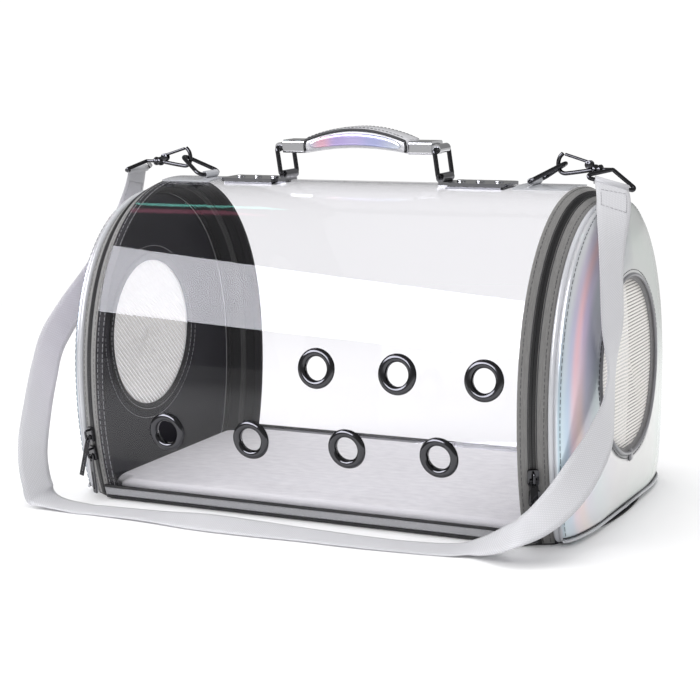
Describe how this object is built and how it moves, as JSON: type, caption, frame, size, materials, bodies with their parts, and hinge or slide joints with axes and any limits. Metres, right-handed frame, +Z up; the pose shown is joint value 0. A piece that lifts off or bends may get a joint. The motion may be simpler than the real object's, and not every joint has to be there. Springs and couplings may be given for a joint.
{
  "type": "pet carrier",
  "caption": "Clear arched pet carrier with padded base, domed iridescent zip-on doors with mesh windows, vent eyelets, ring-link carry handle and clip-on shoulder strap.",
  "frame": {"origin": "centre of the flat underside, on the floor plane", "axes": "+X along the tunnel towards the door whose outside the picture shows, -Y towards the side with the vent eyelets, +Z up"},
  "size_m": [0.4726, 0.2898, 0.2809],
  "materials": {
    "clear_pvc": "clear gloss",
    "iridescent_skin": "iridescent gloss",
    "silver_trim": "satin",
    "black_cord": "satin",
    "zip_tape": "woven",
    "zip_coil": "satin",
    "door_lining": "woven",
    "foam": "soft",
    "white_piping": "pearl",
    "window_mesh": "net",
    "mesh_binding": "satin",
    "pad": "soft",
    "board": "matte",
    "dark_metal": "gunmetal gloss",
    "silver_metal": "polished",
    "spring_steel": "bright",
    "grip_cover": "pearl",
    "inlay": "iridescent",
    "webbing": "woven sheen"
  },
  "bodies": {
    "body": {"base_cover": "door_lining", "base_board": "board", "floor_pad": "pad", "clear_shell": "clear_pvc", "front_trim": "silver_trim", "rear_trim": "silver_trim", "front_cords": "black_cord", "rear_cords": "black_cord", "hoop_wires": "spring_steel", "hoop_sleeves": "door_lining", "body_zip_tapes": "zip_tape", "body_zip_coils": "zip_coil", "eyelets": "dark_metal", "eyelet_washers": "dark_metal", "backing_plates": "dark_metal", "handle_rivets": "silver_metal", "right_handle_plate": "silver_metal", "left_handle_plate": "silver_metal", "right_ring_tab": "silver_trim", "left_ring_tab": "silver_trim", "right_hook": "dark_metal", "left_hook": "dark_metal", "right_strap_eye": "dark_metal", "left_strap_eye": "dark_metal", "shoulder_strap": "webbing"},
    "right_door": {"right_door_skin": "iridescent_skin", "right_door_foam": "foam", "right_door_lining": "door_lining", "right_mesh_binding": "mesh_binding", "right_window_mesh": "window_mesh", "right_door_piping": "white_piping", "right_door_zip_tape": "zip_tape", "right_door_zip_coil": "zip_coil", "right_lower_slider": "dark_metal", "right_upper_slider": "dark_metal"},
    "right_lower_pull": {"right_lower_pull": "dark_metal"},
    "right_upper_pull": {"right_upper_pull": "dark_metal"},
    "right_ring": {"right_strap_ring": "dark_metal"},
    "right_gate": {"right_hook_gate": "dark_metal"},
    "left_door": {"left_door_skin": "iridescent_skin", "left_door_foam": "foam", "left_door_lining": "door_lining", "left_mesh_binding": "mesh_binding", "left_window_mesh": "window_mesh", "left_door_piping": "white_piping", "left_door_zip_tape": "zip_tape", "left_door_zip_coil": "zip_coil", "left_lower_slider": "dark_metal", "left_upper_slider": "dark_metal"},
    "left_lower_pull": {"left_lower_pull": "dark_metal"},
    "left_upper_pull": {"left_upper_pull": "dark_metal"},
    "left_ring": {"left_strap_ring": "dark_metal"},
    "left_gate": {"left_hook_gate": "dark_metal"},
    "left_link": {"left_link": "dark_metal"},
    "right_link": {"right_link": "dark_metal"},
    "grip": {"grip_core": "spring_steel", "grip_cover": "grip_cover", "grip_inlays": "inlay", "right_handle_end": "silver_metal", "left_handle_end": "silver_metal"}
  },
  "joints": [
    {"name": "right_door_fold", "type": "hinge", "parent": "body", "child": "right_door", "pos_m": [0.20815, 0, 0.0025], "axis": [0, 1, 0], "range_deg": [0, 85], "deforming": ["shoulder_strap"]},
    {"name": "right_lower_pull_swing", "type": "hinge", "parent": "right_door", "child": "right_lower_pull", "pos_m": [0.1811, -0.11851, 0.03476], "axis": [-0.8665, -0.4992, 0], "range_deg": [0, 28]},
    {"name": "right_upper_pull_swing", "type": "hinge", "parent": "right_door", "child": "right_upper_pull", "pos_m": [0.18116, -0.12098, 0.04999], "axis": [-0.8665, -0.4992, 0], "range_deg": [0, 105]},
    {"name": "right_ring_swing", "type": "hinge", "parent": "body", "child": "right_ring", "pos_m": [0.137, 0, 0.242], "axis": [0, -1, 0], "range_deg": [-7, 1]},
    {"name": "right_gate_push", "type": "hinge", "parent": "body", "child": "right_gate", "pos_m": [0.178, 0, 0.2562], "axis": [0, -1, 0], "range_deg": [0, 10], "stiffness_Nm_per_rad": 0.004, "springref_deg": -20.05},
    {"name": "left_door_fold", "type": "hinge", "parent": "body", "child": "left_door", "pos_m": [-0.20815, 0, 0.0025], "axis": [0, -1, 0], "range_deg": [0, 85], "deforming": ["shoulder_strap"]},
    {"name": "left_lower_pull_swing", "type": "hinge", "parent": "left_door", "child": "left_lower_pull", "pos_m": [-0.1811, -0.11851, 0.03476], "axis": [-0.8665, 0.4992, 0], "range_deg": [0, 28]},
    {"name": "left_upper_pull_swing", "type": "hinge", "parent": "left_door", "child": "left_upper_pull", "pos_m": [-0.18116, -0.12098, 0.04999], "axis": [-0.8665, 0.4992, 0], "range_deg": [0, 105]},
    {"name": "left_ring_swing", "type": "hinge", "parent": "body", "child": "left_ring", "pos_m": [-0.137, 0, 0.242], "axis": [0, 1, 0], "range_deg": [-7, 1]},
    {"name": "left_gate_push", "type": "hinge", "parent": "body", "child": "left_gate", "pos_m": [-0.178, 0, 0.2562], "axis": [0, 1, 0], "range_deg": [0, 10], "stiffness_Nm_per_rad": 0.004, "springref_deg": -20.05},
    {"name": "left_link_swing", "type": "hinge", "parent": "body", "child": "left_link", "pos_m": [-0.066, 0, 0.2433], "axis": [0, 1, 0], "range_deg": [-52, 68]},
    {"name": "right_link_swing", "type": "hinge", "parent": "body", "child": "right_link", "pos_m": [0.066, 0, 0.2433], "axis": [0, 1, 0], "range_deg": [-52, 68]},
    {"name": "grip_stay_level", "type": "hinge", "parent": "left_link", "child": "grip", "pos_m": [-0.06899, 0, 0.26459], "axis": [0, 1, 0], "range_deg": [-68, 52]}
  ],
  "couplings": [
    {"joint": "right_link_swing", "follows": "left_link_swing", "ratio": 1},
    {"joint": "grip_stay_level", "follows": "left_link_swing", "ratio": -1}
  ]
}
